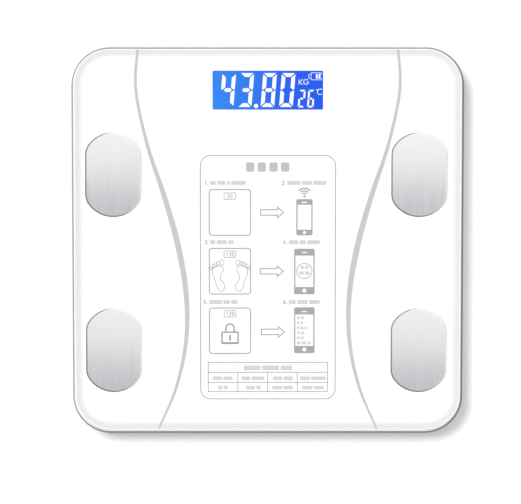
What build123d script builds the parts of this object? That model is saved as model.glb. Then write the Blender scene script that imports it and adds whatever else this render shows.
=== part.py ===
from build123d import *
import os
from math import radians, tan

# Digital body-composition bathroom scale, 260 mm square: a tempered glass platform with four steel
# electrodes, bonded to a shallow ABS tray that stands on four load-cell feet.
# Frame: millimetres, +Z up, origin on the floor under the middle of the platform. The display lies
# towards +Y (rear), and the user stands facing +Y, so "left" is -X.

# ---------------------------------------------------------------- driving dimensions
GLASS_SIDE = 260.0
GLASS_CORNER = 25.5
GLASS_THICK = 5.0
RIM_WIDTH = 6.0          # width of the softly curved rim ground into the top face
RIM_DROP = 0.8           # how far that rim falls from the flat face
EDGE_ROUND = 1.0         # rounded arris of the glass

TRAY_SIDE = 254.0
TRAY_CORNER = 22.5
TRAY_BELLY = 9.0         # radius between the tray's side wall and its floor
WALL = 2.2
FLOOR = 2.0

# heights of the stack
Z_TRAY = 4.0
Z_FLOOR_TOP = Z_TRAY + FLOOR
Z_RIM = 17.0
TAPE = 0.6
FILM = 0.2
GLUE_GAP = 0.1
Z_FILM = Z_RIM + TAPE
Z_GLASS = Z_FILM + FILM + GLUE_GAP
Z_TOP = Z_GLASS + GLASS_THICK

# electrodes
PAD_W, PAD_L, PAD_T = 37.4, 57.1, 1.2
PAD_END_R = 20.4         # the end arcs are a little larger than half the width
PAD_CORNER = 12.0        # where an end arc meets a straight side
PAD_ROUND = 1.05         # rounded top edge
PAD_GLUE = 0.15
PAD_X, PAD_Y_REAR, PAD_Y_FRONT = 101.6, 45.3, -73.3
PAD_SHIFT = -1.0         # how far right of the platform's middle the four pads are centred
TERMINAL_REACH = 9.0     # end of a ring terminal's barrel, from its stud
STUD_OFFSET = 16.0       # stud position along the pad, towards the middle of the scale
STUD_D = 3.0
Z_STUD_END = 14.2

# display
LCD_Y = 101.15
WINDOW_W, WINDOW_H = 73.3, 26.1
LCD_W, LCD_H = 80.0, 31.0
Z_PCB, PCB_T = 11.0, 1.6
Z_PCB_TOP = Z_PCB + PCB_T
PCB_W, PCB_Y0, PCB_Y1 = 104.0, 64.5, 119.5
Z_LCD, LCD_T = 15.0, 1.8
LIP = 0.4

# feet and load cells
FOOT_XY = 90.0
FOOT_D, PAD_D = 42.0, 35.0
NECK_D, NECK_HOLE_D = 36.4, 38.0
WELL_D, WELL_WALL = 56.0, 1.8
CELL_SIDE, CELL_T, Z_CELL = 34.0, 2.2, 6.8
Z_CELL_TOP = Z_CELL + CELL_T
BUTTON_H = 1.0           # load button on the cell's tongue
Z_BRACKET = 12.8
POST_R = 23.0            # bracket posts, from the centre of the well
TRAVEL = 0.5             # travel of a foot at full load

# battery box
BOX_Y = 20.0
BOX_L, BOX_W = 54.0, 33.6
BOX_WALL = 1.6
Z_ROOF, ROOF = 16.5, 0.8
DOOR_L, DOOR_W, DOOR_T = 60.0, 39.0, 1.8
GAP = 0.3
CELL_D, CELL_PITCH, Z_BATTERY = 10.5, 10.8, 11.15
BATTERY_L, NUB_L = 44.5, 1.0
CONTACT_T = 0.4
BATTERY_SHIFT = 1.5      # each battery sits this far towards its positive contact

# unit button
KEY_X, KEY_Y, KEY_D = 30.0, 88.0, 10.0
Z_SWITCH = 7.8

LEAD_R, WIRE_R = 0.8, 0.6
Z_LEAD = 10.6
Z_HEADER = 14.5
HEADER_Y = 66.0

CORNERS = {
    "front_left": (-1, -1),
    "front_right": (1, -1),
    "rear_left": (-1, 1),
    "rear_right": (1, 1),
}
parts = {}


# ---------------------------------------------------------------- helpers
def box(x0, x1, y0, y1, z0, z1):
    """A box from its six limits."""
    centre = ((x0 + x1) / 2, (y0 + y1) / 2, (z0 + z1) / 2)
    return Pos(*centre) * Box(x1 - x0, y1 - y0, z1 - z0)


def rod(radius, z0, z1, x=0.0, y=0.0):
    """A vertical cylinder from z0 to z1."""
    return Pos(x, y, (z0 + z1) / 2) * Cylinder(radius, z1 - z0)


def rod_x(radius, x0, x1, y=0.0, z=0.0):
    """A cylinder along X from x0 to x1."""
    return Pos((x0 + x1) / 2, y, z) * Rot(0, 90, 0) * Cylinder(radius, x1 - x0)


def slab(width, depth, corner, z0, z1, x=0.0, y=0.0):
    """A plate with rounded corners."""
    return Pos(x, y, z0) * extrude(RectangleRounded(width, depth, corner), z1 - z0)


def ring(outer, inner, z0, z1, x=0.0, y=0.0):
    """A round tube wall; outer and inner are diameters."""
    return rod(outer / 2, z0, z1, x, y) - rod(inner / 2, z0 - 1, z1 + 1, x, y)


def top_edges(shape):
    """The edges of the highest face."""
    return shape.faces().sort_by(Axis.Z)[-1].edges()


def bottom_edges(shape):
    """The edges of the lowest face."""
    return shape.faces().sort_by(Axis.Z)[0].edges()


def lead(points, radius):
    """A wire along straight runs joined by arcs as large as the runs allow."""
    nodes = [Vector(*p) for p in points]
    radii = []
    for before, here, after in zip(nodes, nodes[1:], nodes[2:]):
        turn = (here - before).get_angle(after - here)
        shorter = min((here - before).length, (after - here).length)
        radii.append(0.45 * shorter / tan(radians(turn / 2)))
    path = FilletPolyline(*points, radius=radii)
    print("lead arcs", [round(r, 1) for r in radii], "length", round(path.length, 1))
    profile = Plane(origin=path @ 0, z_dir=path % 0) * Circle(radius)
    return sweep(profile, path=path)


def group(solids):
    """Several separate solids in one node."""
    return Compound(children=[s for shape in solids for s in shape.solids()])


# ---------------------------------------------------------------- platform
def pad_outline(inset=0.0):
    """Electrode outline: straight sides, and end arcs slightly flatter than half circles."""
    half_w, half_l, end_r = PAD_W / 2 - inset, PAD_L / 2 - inset, PAD_END_R - inset
    rise = end_r - (end_r**2 - half_w**2) ** 0.5
    side = half_l - rise
    outline = [
        Line((half_w, -side), (half_w, side)),
        ThreePointArc((half_w, side), (0, half_l), (-half_w, side)),
        Line((-half_w, side), (-half_w, -side)),
        ThreePointArc((-half_w, -side), (0, -half_l), (half_w, -side)),
    ]
    return make_face(Wire(outline).edges())


def electrode_places():
    """Name, position and turn of each electrode. The rear pair is the same part turned round."""
    for name, (sx, sy) in CORNERS.items():
        y = PAD_Y_REAR if sy > 0 else PAD_Y_FRONT
        yield name, Pos(PAD_SHIFT + sx * PAD_X, y, 0) * Rot(0, 0, 180 if sy > 0 else 0)


def stud_positions():
    """Stud centres in the row frame."""
    for sx, sy in CORNERS.values():
        y = PAD_Y_REAR - STUD_OFFSET if sy > 0 else PAD_Y_FRONT + STUD_OFFSET
        yield sx, PAD_SHIFT + sx * PAD_X, y


def rim_cutter():
    """The material ground off the top edge: a shallow curve that ends in a rounded arris."""
    outer = GLASS_SIDE / 2
    flat_end = outer - RIM_WIDTH
    arris_top = Z_TOP - RIM_DROP
    mid = (outer - RIM_WIDTH * 0.45, Z_TOP - RIM_DROP * 0.22)
    arris_in = outer - EDGE_ROUND
    profile = [
        Spline((flat_end, Z_TOP), mid, (arris_in, arris_top), tangents=[(1, 0), (1, -0.22)]),
        JernArc((arris_in, arris_top), (1, -0.22), -EDGE_ROUND, 77.6),
    ]
    end = profile[-1] @ 1
    profile += [
        Line(end, (outer + 2, end.Y)),
        Line((outer + 2, end.Y), (outer + 2, Z_TOP + 1)),
        Line((outer + 2, Z_TOP + 1), (flat_end, Z_TOP + 1)),
        Line((flat_end, Z_TOP + 1), (flat_end, Z_TOP)),
    ]
    face = make_face(Wire(profile).edges())
    return Plane.XZ * face


def glass_platform():
    glass = slab(GLASS_SIDE, GLASS_SIDE, GLASS_CORNER, Z_GLASS, Z_TOP)
    glass = fillet(bottom_edges(glass), EDGE_ROUND * 0.7)
    path = RectangleRounded(GLASS_SIDE, GLASS_SIDE, GLASS_CORNER).wire()
    section = rim_cutter()
    straight = GLASS_SIDE / 2 - GLASS_CORNER
    pieces = []
    for quarter in range(4):
        turn = Rot(0, 0, 90 * quarter)
        run = extrude(section, amount=straight, both=True)
        corner = revolve(
            Pos(0, straight, 0) * section,
            Axis((straight, straight, 0), (0, 0, 1)),
            revolution_arc=90,
        )
        pieces += [turn * run, turn * corner]
    for piece in pieces:
        glass = glass - piece
    for _, x, y in stud_positions():
        glass = glass - rod(STUD_D / 2 + 0.5, Z_GLASS - 1, Z_TOP + 1, x, y)
    return glass


def printed_film():
    """White printed film under the glass, with the display window left out of it."""
    inset = 0.8
    side = GLASS_SIDE - 2 * inset
    film = slab(side, side, GLASS_CORNER - inset, Z_FILM, Z_FILM + FILM)
    film -= slab(WINDOW_W, WINDOW_H, 0.8, Z_FILM - 1, Z_GLASS, 0, LCD_Y)
    for _, x, y in stud_positions():
        film -= rod(2.5, Z_FILM - 1, Z_GLASS, x, y)
    return film


def platform_tape():
    """Foam tape: a frame on the tray's rim and a disc on each load-cell bracket."""
    outer, inner = TRAY_SIDE - 2, TRAY_SIDE - 12
    frame = slab(outer, outer, TRAY_CORNER - 1, Z_RIM, Z_FILM)
    frame -= slab(inner, inner, TRAY_CORNER - 6, Z_RIM - 1, Z_FILM + 1)
    discs = [
        rod(WELL_D / 2 - 1.5, Z_RIM, Z_FILM, sx * FOOT_XY, sy * FOOT_XY)
        for sx, sy in CORNERS.values()
    ]
    return group([frame, *discs])


def electrode():
    """Stainless pad with its welded stud, in the pad's own frame (display side at -Y)."""
    base = Z_TOP + PAD_GLUE
    pad = Pos(0, 0, base) * extrude(pad_outline(), PAD_T)
    pad = fillet(pad.edges().filter_by(Axis.Z), PAD_CORNER)
    pad = fillet(top_edges(pad), PAD_ROUND)
    stud = rod(STUD_D / 2, Z_STUD_END, base, 0, STUD_OFFSET)
    stud = chamfer(bottom_edges(stud), 0.4)
    return pad + stud


def electrode_glue():
    glue = Pos(0, 0, Z_TOP) * extrude(pad_outline(inset=0.8), PAD_GLUE)
    return glue - rod(STUD_D / 2 + 0.5, Z_TOP - 1, Z_TOP + 1, 0, STUD_OFFSET)


def electrode_fixings():
    """Ring terminal and nut on each stud, under the film."""
    terminals, nuts = [], []
    z_ring = Z_FILM - 0.5
    for sx, x, y in stud_positions():
        tongue = ring(6.4, STUD_D + 0.2, z_ring, Z_FILM)
        tongue += box(2.4, 5.0, -1.2, 1.2, z_ring, Z_FILM)
        tongue += rod_x(1.2, 4.6, TERMINAL_REACH, 0, Z_FILM - 1.2)
        terminals.append(Pos(x, y, 0) * Rot(0, 0, 180 if sx > 0 else 0) * tongue)
        nut = Pos(0, 0, z_ring - 2.4) * extrude(RegularPolygon(3.18, 6), 2.4)
        nut = nut - rod(STUD_D / 2, z_ring - 3, z_ring + 1)
        nuts.append(Pos(x, y, 0) * nut)
    return group(terminals), group(nuts)


# ---------------------------------------------------------------- tray
def tray_shell():
    """Shallow dish with a rounded belly and an inward rim flange."""
    outer = slab(TRAY_SIDE, TRAY_SIDE, TRAY_CORNER, Z_TRAY, Z_RIM)
    outer = fillet(bottom_edges(outer), TRAY_BELLY)
    inside = TRAY_SIDE - 2 * WALL
    hollow = slab(inside, inside, TRAY_CORNER - WALL, Z_FLOOR_TOP, Z_RIM + 1)
    hollow = fillet(bottom_edges(hollow), TRAY_BELLY - WALL)
    shell = outer - hollow
    flange_in = TRAY_SIDE - 14
    flange = slab(TRAY_SIDE - 2, TRAY_SIDE - 2, TRAY_CORNER - 1, Z_RIM - 1.8, Z_RIM)
    flange -= slab(flange_in, flange_in, TRAY_CORNER - 7, Z_RIM - 3, Z_RIM + 1)
    return shell + flange


def tray_ribs():
    """Stiffening ribs on the floor, kept under the height of the leads."""
    top, half = 9.4, 0.7
    reach = TRAY_SIDE / 2 - 10
    ribs = box(-half, half, -reach, BOX_Y - DOOR_W / 2 - 2, Z_TRAY + 1, top)
    for sx in (-1, 1):
        ribs += box(sx * 52 - half, sx * 52 + half, -reach, 60, Z_TRAY + 1, top)
        ribs += box(min(0, sx * reach), max(0, sx * reach), -51.4, -50, Z_TRAY + 1, top)
        inner = BOX_L / 2 + 5
        ribs += box(*sorted((sx * inner, sx * reach)), -half, half, Z_TRAY + 1, top)
        ribs += box(*sorted((sx * inner, sx * reach)), 40, 41.4, Z_TRAY + 1, top)
    return ribs


def tray_wells():
    """One round well for each load cell, with four posts under its bracket."""
    solid, void = [], []
    for sx, sy in CORNERS.values():
        x, y = sx * FOOT_XY, sy * FOOT_XY
        solid.append(ring(WELL_D + 2 * WELL_WALL, WELL_D, Z_TRAY + 1, Z_RIM, x, y))
        for dx, dy in ((1, 0), (-1, 0), (0, 1), (0, -1)):
            post_x, post_y = x + dx * POST_R, y + dy * POST_R
            if dy == -sy:                      # the lead leaves the well on this side
                continue
            solid.append(rod(2.8, Z_TRAY + 1, Z_BRACKET, post_x, post_y))
            if dx:
                void.append(rod(1.2, 7.5, Z_BRACKET + 1, post_x, post_y))
        void.append(rod(NECK_HOLE_D / 2, Z_TRAY - 1, Z_FLOOR_TOP + 1, x, y))
        void.append(rod(FOOT_D / 2 + 2, Z_TRAY - 1, Z_TRAY + 0.6, x, y))
        gate = sorted((y - sy * (WELL_D / 2 - 1), y - sy * (WELL_D / 2 + 3)))
        void.append(box(x - 2, x + 2, *gate, 9.4, 12.6))
    return solid, void


def battery_box():
    """Walls, roof and door recess of the battery compartment, as solid and void pieces."""
    half_l, half_w = BOX_L / 2, BOX_W / 2
    outer_l, outer_w = half_l + BOX_WALL, half_w + BOX_WALL
    door_l, door_w = DOOR_L / 2, DOOR_W / 2
    ledge_top = Z_FLOOR_TOP + 1.5
    solid = [
        box(-outer_l, outer_l, BOX_Y - outer_w, BOX_Y + outer_w, Z_TRAY + 1, Z_ROOF + ROOF),
        box(-door_l - 3, door_l + 3, BOX_Y - door_w - 3, BOX_Y + door_w + 3, Z_TRAY + 1, ledge_top),
        box(-12, 12, BOX_Y + door_w, BOX_Y + door_w + 10, Z_TRAY + 1, ledge_top),
    ]
    void = [
        box(-half_l, half_l, BOX_Y - half_w, BOX_Y + half_w, Z_TRAY - 1, Z_ROOF),
        slab(DOOR_L, DOOR_W, 1.5, Z_TRAY - 1, Z_TRAY + DOOR_T + 0.1, 0, BOX_Y),
    ]
    hinge_y, latch_y = BOX_Y - door_w, BOX_Y + door_w
    for sx in (-1, 1):                         # slots for the door's two hooks
        void.append(box(sx * 18 - 4.6, sx * 18 + 4.6, hinge_y - 2.7, hinge_y + 4.2, Z_FLOOR_TOP, 8.4))
        void.append(box(sx * 18 - 4.6, sx * 18 + 4.6, hinge_y, hinge_y + 4.2, Z_TRAY + 1, 8.4))
    void.append(box(-7.5, 7.5, latch_y - 5.5, latch_y, Z_TRAY + DOOR_T, 8.6))
    void.append(box(-7.5, 7.5, latch_y - 1, latch_y + 1.2, Z_FLOOR_TOP, 8.6))
    scoop = Pos(0, latch_y + 0.5, Z_TRAY - 14.6) * Rot(0, 90, 0) * Cylinder(16.0, 14.0)
    void.append(scoop & box(-7, 7, latch_y - 0.5, latch_y + 8, Z_TRAY - 1, Z_TRAY + 2))
    for sx, y in ((-1, BOX_Y - CELL_PITCH), (1, BOX_Y + CELL_PITCH)):
        void.append(box(*sorted((sx * half_l, sx * (outer_l + 1))), y - 1.3, y + 1.3, 11.9, 13.3))
    return solid, void


def base_tray():
    tray = tray_shell() + tray_ribs()
    well_solid, well_void = tray_wells()
    box_solid, box_void = battery_box()
    for piece in well_solid + box_solid:
        tray = tray + piece
    for sx in (-1, 1):                         # circuit-board posts
        for y in (69.0, 112.0):
            tray = tray + rod(3.0, Z_TRAY + 1, Z_PCB, sx * 48, y)
            tray = tray - rod(1.2, 7.5, Z_PCB + 1, sx * 48, y)
    key_collar = ring(17.0, 14.4, Z_TRAY + 1, 7.6, KEY_X, KEY_Y)
    tray = tray + key_collar
    tray = tray - rod(KEY_D / 2 + 0.3, Z_TRAY - 1, Z_FLOOR_TOP + 1, KEY_X, KEY_Y)
    key_dish = Pos(KEY_X, KEY_Y, Z_TRAY) * Cone(9.0, KEY_D / 2 + 0.3, 1.0, align=(Align.CENTER,) * 2 + (Align.MIN,))
    tray = tray - key_dish
    for piece in well_void + box_void:
        tray = tray - piece
    groove = extrude(SlotOverall(110, 9), 0.7)
    for x, y, turn in ((0, -FOOT_XY, 0), (-FOOT_XY, 0, 90), (FOOT_XY, 0, 90)):
        tray = tray - Pos(x, y, Z_TRAY) * Rot(0, 0, turn) * groove
    return tray


# ---------------------------------------------------------------- feet and load cells
def foot():
    """Foot cup in its own frame: flange, neck through the tray, and stakes that hold the cell."""
    flange = rod(FOOT_D / 2, 1.0, 3.8)
    flange = fillet(bottom_edges(flange), 0.8)
    body = flange + rod(NECK_D / 2, 3.8, Z_CELL)
    body -= rod(PAD_D / 2 + 0.15, 0, 1.8)
    body -= box(-8, 8, -11, 9, Z_CELL - 2.2, Z_CELL + 1)
    for sx in (-1, 1):
        for sy in (-1, 1):
            x, y = sx * 13.0, sy * 9.5
            body += rod(1.1, Z_CELL - 0.5, Z_CELL_TOP + 0.1, x, y)
            head = rod(1.8, Z_CELL_TOP, Z_CELL_TOP + 0.7, x, y)
            body += chamfer(top_edges(head), 0.3)
    return body


def foot_pad():
    """Rubber pad with ring grooves, glued into the cup."""
    pad = rod(PAD_D / 2, 0, 1.8)
    pad = fillet(bottom_edges(pad), 0.5)
    for diameter in (16.0, 22.0, 28.0):
        pad -= ring(diameter + 1.6, diameter, -1, 0.5)
    return pad


def load_cell():
    """Half-bridge cell: a square frame with a tongue that carries the load button."""
    plate = slab(CELL_SIDE, CELL_SIDE, 3.0, Z_CELL, Z_CELL_TOP)
    plate -= box(-9, 9, -11.5, 11.5, Z_CELL - 1, Z_CELL_TOP + 1)
    tongue = slab(10, 16.5 + 2, 1.5, Z_CELL, Z_CELL_TOP, 0, -4.25)
    tongue -= box(-6, 6, -20, -12.5, Z_CELL - 1, Z_CELL_TOP + 1)
    plate += tongue
    for sx in (-1, 1):
        plate -= rod(0.9, Z_CELL - 1, Z_CELL_TOP + 1, sx * 4.6, -9.0)
        for sy in (-1, 1):
            plate -= rod(1.2, Z_CELL - 1, Z_CELL_TOP + 1, sx * 13.0, sy * 9.5)
    button = rod(3.0, Z_CELL_TOP, Z_CELL_TOP + BUTTON_H)
    return plate + chamfer(top_edges(button), 0.3)


def gauge_coating():
    """Silicone over the strain gauges."""
    blob = slab(7.4, 6.4, 1.4, Z_CELL_TOP, Z_CELL_TOP + 2.2, 0, -7.8)
    return fillet(top_edges(blob), 0.5)


def cell_bracket():
    """Inverted cup that carries the platform and bears on the cell's button."""
    outer = WELL_D / 2 - 1
    bracket = rod(outer, Z_BRACKET, Z_BRACKET + 1.8)
    bracket += ring(2 * outer, 2 * outer - 2.8, Z_BRACKET, Z_RIM)
    bracket += rod(6.0, Z_BRACKET, Z_RIM)
    ribs = box(-0.9, 0.9, -outer + 1, outer - 1, Z_BRACKET, Z_RIM)
    ribs += box(-outer + 1, outer - 1, -0.9, 0.9, Z_BRACKET, Z_RIM)
    for sx in (-1, 1):
        ribs -= rod(3.4, Z_BRACKET + 1.8, Z_RIM + 1, sx * POST_R, 0)
    bracket += ribs
    bracket += rod(4.3, Z_BRACKET - 1.2, Z_BRACKET)
    bracket += rod(3.5, Z_CELL_TOP + BUTTON_H, Z_BRACKET)
    for sx in (-1, 1):
        bracket -= rod(1.4, Z_BRACKET - 1, Z_BRACKET + 3, sx * POST_R, 0)
    return bracket


def pan_screw(z_seat, length):
    """Pan-head screw, its head's underside at z_seat."""
    head = rod(2.3, z_seat, z_seat + 1.5)
    head = fillet(top_edges(head), 0.5)
    cross = box(-1.4, 1.4, -0.3, 0.3, z_seat + 0.8, z_seat + 2)
    cross += box(-0.3, 0.3, -1.4, 1.4, z_seat + 0.8, z_seat + 2)
    shank = rod(1.15, z_seat - length, z_seat)
    return head - cross + chamfer(bottom_edges(shank), 0.4)


def corner_turn(sx, sy):
    """Places a corner part. Its lead side, local -Y, faces the middle of the scale."""
    return Pos(sx * FOOT_XY, sy * FOOT_XY, 0) * Rot(0, 0, 0 if sy > 0 else 180)


# ---------------------------------------------------------------- display and circuit board
def main_pcb():
    board = box(-PCB_W / 2, PCB_W / 2, PCB_Y0, PCB_Y1, Z_PCB, Z_PCB_TOP)
    board = fillet(board.edges().filter_by(Axis.Z), 2.0)
    for sx in (-1, 1):
        for y in (69.0, 112.0):
            board -= rod(1.4, Z_PCB - 1, Z_PCB_TOP + 1, sx * 48, y)
    return board


def lcd_bezel():
    """Frame that holds the display glass over the backlight."""
    top = Z_LCD + LCD_T + LIP
    frame = slab(LCD_W + 8, LCD_H + 4.4, 1.5, Z_PCB_TOP, top, 0, LCD_Y)
    frame -= box(-40.2, 40.2, LCD_Y - 15.7, LCD_Y + 15.7, Z_PCB_TOP - 1, Z_LCD + LCD_T)
    return frame - box(-38.5, 38.5, LCD_Y - 14.25, LCD_Y + 14.25, Z_LCD, top + 1)


def lcd_gasket():
    z0 = Z_LCD + LCD_T + LIP
    ring_out = slab(84, 33, 1.5, z0, Z_FILM, 0, LCD_Y)
    return ring_out - box(-38.6, 38.6, LCD_Y - 14.4, LCD_Y + 14.4, z0 - 1, Z_FILM + 1)


def lcd_glass():
    """Two glass plates: the lower one has a contact ledge along the front."""
    y0, y1 = LCD_Y - LCD_H / 2, LCD_Y + LCD_H / 2
    lower = box(-LCD_W / 2, LCD_W / 2, y0, y1, Z_LCD, Z_LCD + 0.9)
    upper = box(-LCD_W / 2, LCD_W / 2, y0 + 1.6, y1, Z_LCD + 0.9, Z_LCD + LCD_T)
    return lower + upper


def lcd_backlight():
    guide = box(-37.5, 40, LCD_Y - 12.4, LCD_Y + 15.5, Z_PCB_TOP + 0.1, Z_LCD)
    return chamfer(guide.edges().filter_by(Axis.Z), 0.6)


def header(x0, x1):
    """Wire header on the board."""
    body = box(x0, x1, HEADER_Y, HEADER_Y + 6, Z_PCB_TOP, Z_PCB_TOP + 4.2)
    return chamfer(body.edges().filter_by(Axis.Z), 0.4)


def small_components():
    """Chip resistors and capacitors in rows behind the headers."""
    chips = []
    for i in range(7):
        x = -44 + 4.5 * i
        chips.append(box(x, x + 2.0, 75.0, 76.25, Z_PCB_TOP, Z_PCB_TOP + 0.6))
        chips.append(box(x, x + 2.0, 79.0, 80.25, Z_PCB_TOP, Z_PCB_TOP + 0.6))
    for x in (14.0, 18.5):
        chips.append(rod(1.8, Z_PCB_TOP, Z_PCB_TOP + 3.4, x, 78.0))
    return group(chips)


def radio_module():
    """Daughter board with a metal can and an open antenna end."""
    board = box(26, 42, 74.5, 82.5, Z_PCB_TOP, Z_PCB_TOP + 0.8)
    can = box(26.6, 35.6, 75.1, 81.9, Z_PCB_TOP + 0.8, Z_PCB_TOP + 2.4)
    return board + fillet(top_edges(can), 0.3)


# ---------------------------------------------------------------- batteries
def battery():
    """AAA cell along +X, positive end at +X, in its own frame."""
    half = BATTERY_L / 2
    can = rod_x(CELL_D / 2, -half, half - NUB_L)
    can = fillet(can.edges().filter_by(GeomType.CIRCLE), 0.5)
    nub = rod_x(1.9, half - NUB_L - 0.2, half)
    return can + chamfer(nub.faces().sort_by(Axis.X)[-1].edges(), 0.3)


def battery_rows():
    """Row position and direction of the positive end of each battery."""
    return [(BOX_Y + (i - 1) * CELL_PITCH, 1 if i % 2 == 0 else -1) for i in range(3)]


def battery_contacts():
    """Plates at both ends of the box: two single ones with solder tabs and two links."""
    wall = BOX_L / 2
    half = 4.4
    plates = []
    spans = (
        (-1, BOX_Y - CELL_PITCH, BOX_Y - CELL_PITCH, True),
        (1, BOX_Y - CELL_PITCH, BOX_Y, False),
        (-1, BOX_Y, BOX_Y + CELL_PITCH, False),
        (1, BOX_Y + CELL_PITCH, BOX_Y + CELL_PITCH, True),
    )
    for side, y0, y1, tab in spans:
        x = sorted((side * wall, side * (wall - CONTACT_T)))
        plate = box(*x, y0 - half, y1 + half, 7.2, 15.2)
        if tab:
            reach = sorted((side * (wall - CONTACT_T), side * (wall + BOX_WALL + 1.4)))
            plate += box(*reach, y0 - 1.2, y0 + 1.2, 12.0, 13.2)
        for y, sign in battery_rows():
            if sign == side and y0 <= y <= y1:
                tip = side * (BATTERY_L / 2 + BATTERY_SHIFT)
                plate += rod_x(2.2, *sorted((tip, side * (wall - CONTACT_T))), y, Z_BATTERY)
        plates.append(plate)
    return group(plates)


def battery_springs():
    """Conical coil at each negative end, from the plate to the battery."""
    wire = 0.35
    start = BOX_L / 2 - CONTACT_T - wire
    end = BATTERY_L / 2 - BATTERY_SHIFT + wire
    length = start - end
    coil = Helix(pitch=length / 3.25, height=length, radius=3.6, cone_angle=-12)
    profile = Plane(origin=coil @ 0, z_dir=coil % 0) * Circle(wire)
    spring = sweep(profile, path=coil, is_frenet=True)
    springs = []
    for y, sign in battery_rows():
        place = Pos(-sign * start, y, Z_BATTERY) * Rot(0, 90 * sign, 0)
        springs.append(place * spring)
    return group(springs)


def battery_door():
    """Door with two hooks on its hinge edge and a sprung latch on the other."""
    door_w = DOOR_W / 2
    hinge_y, latch_y = BOX_Y - door_w, BOX_Y + door_w
    door = slab(DOOR_L - 2 * GAP, DOOR_W - 2 * GAP, 1.2, Z_TRAY, Z_TRAY + DOOR_T, 0, BOX_Y)
    door = chamfer(bottom_edges(door), 0.25)
    for sx in (-1, 1):
        x0, x1 = sx * 18 - 4, sx * 18 + 4
        door += box(x0, x1, hinge_y + 0.5, hinge_y + 1.8, Z_TRAY + 1, 7.4)
        door += box(x0, x1, hinge_y - 1.9, hinge_y + 1.8, 6.25, 7.4)
    door -= box(-6.6, 6.6, latch_y - 3.1, latch_y + 1, Z_TRAY - 1, Z_TRAY + 3)
    door += box(-6, 6, latch_y - 4.0, latch_y - 3.1, Z_TRAY + 0.6, 8.1)
    door += box(-6, 6, latch_y - 4.0, latch_y - 1.0, 7.3, 8.1)
    door += box(-6, 6, latch_y - 1.8, latch_y - 1.0, Z_TRAY + 0.3, 8.1)
    door += box(-4, 4, latch_y - 1.2, latch_y - 0.25, 6.2, 7.1)
    door += box(-6, 6, latch_y - 1.8, latch_y - 0.5, Z_TRAY + 0.3, Z_TRAY + 1.2)
    for i in range(3):                          # grip lines near the latch
        y = latch_y - 6.2 - 1.8 * i
        door -= box(-8, 8, y - 0.4, y + 0.4, Z_TRAY - 1, Z_TRAY + 0.4)
    return door


# ---------------------------------------------------------------- unit button
def unit_button():
    key = rod(KEY_D / 2, Z_TRAY - 0.2, Z_FLOOR_TOP + 0.1, KEY_X, KEY_Y)
    key = fillet(bottom_edges(key), 0.5)
    key += rod(6.6, Z_FLOOR_TOP + 0.1, Z_FLOOR_TOP + 0.9, KEY_X, KEY_Y)
    return key + rod(2.5, Z_FLOOR_TOP + 0.9, 7.0, KEY_X, KEY_Y)


def switch_parts():
    """Tactile switch under the board: housing and moving plunger."""
    housing = box(KEY_X - 3, KEY_X + 3, KEY_Y - 3, KEY_Y + 3, Z_SWITCH, Z_PCB)
    housing = chamfer(housing.edges().filter_by(Axis.Z), 0.4)
    housing -= rod(1.7, Z_SWITCH - 1, 10.2, KEY_X, KEY_Y)
    plunger = rod(1.6, 7.0, 9.5, KEY_X, KEY_Y)
    return housing, plunger


# ---------------------------------------------------------------- leads
def mirrored(points, sx):
    """The route for one side: sx is -1 for left, as written, and 1 for right."""
    return [(-sx * x, y, z) for x, y, z in points]


def cell_leads():
    """A three-core lead from each load cell to its header on the board."""
    end = HEADER_Y
    rear = [(-90, 79, Z_LEAD), (-90, 52, Z_LEAD), (-26, 52, 11.4), (-12, 56, Z_HEADER), (-12, end, Z_HEADER)]
    front = [
        (-90, -79, Z_LEAD),
        (-90, -42, Z_LEAD),
        (-42, -8, Z_LEAD),
        (-42, 38, Z_LEAD),
        (-5, 48, Z_HEADER),
        (-5, end, Z_HEADER),
    ]
    return group([lead(mirrored(r, sx), LEAD_R) for r in (rear, front) for sx in (-1, 1)])


def electrode_leads():
    """A single wire from each electrode's terminal to the board."""
    z_ring, end = Z_FILM - 1.2, HEADER_Y
    rear_y, front_y = PAD_Y_REAR - STUD_OFFSET, PAD_Y_FRONT + STUD_OFFSET
    rear = [(-66, rear_y, 16), (-42, 46, 15.5), (-28, 54, Z_HEADER), (-28, end, Z_HEADER)]
    front = [(-70, front_y, 16), (-34.5, -14, 16), (-34.5, 42, 15.5), (-24, 53, Z_HEADER), (-24, end, Z_HEADER)]
    leads = []
    for sx in (-1, 1):
        x0 = PAD_SHIFT + sx * (PAD_X - TERMINAL_REACH)
        leads.append(lead([(x0, rear_y, z_ring), *mirrored(rear, sx)], WIRE_R))
        leads.append(lead([(x0, front_y, z_ring), *mirrored(front, sx)], WIRE_R))
    return group(leads)


def battery_leads():
    """Positive and negative wires from the contact tabs to the board."""
    tab = BOX_L / 2 + BOX_WALL + 1.4
    low, high = BOX_Y - CELL_PITCH, BOX_Y + CELL_PITCH
    z, z_end, end = 12.6, 14.2, HEADER_Y - 0.05
    negative = [(-tab, low, z), (-tab - 4, low, z), (-36, 22, 13.2), (-36.5, 44, 13.5), (-36, end, z_end)]
    positive = [(tab, high, z), (tab + 3.6, high, z), (36, 42, 13.4), (36, end, z_end)]
    return group([lead(negative, WIRE_R), lead(positive, WIRE_R)])


# ---------------------------------------------------------------- assembly
def build_platform():
    parts["glass_platform"] = glass_platform()
    parts["printed_film"] = printed_film()
    parts["platform_tape"] = platform_tape()
    for name, place in electrode_places():
        parts["electrode_" + name] = place * electrode()
    parts["electrode_glue"] = group([place * electrode_glue() for _, place in electrode_places()])
    terminals, nuts = electrode_fixings()
    parts["electrode_terminals"] = terminals
    parts["electrode_nuts"] = nuts


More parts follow.
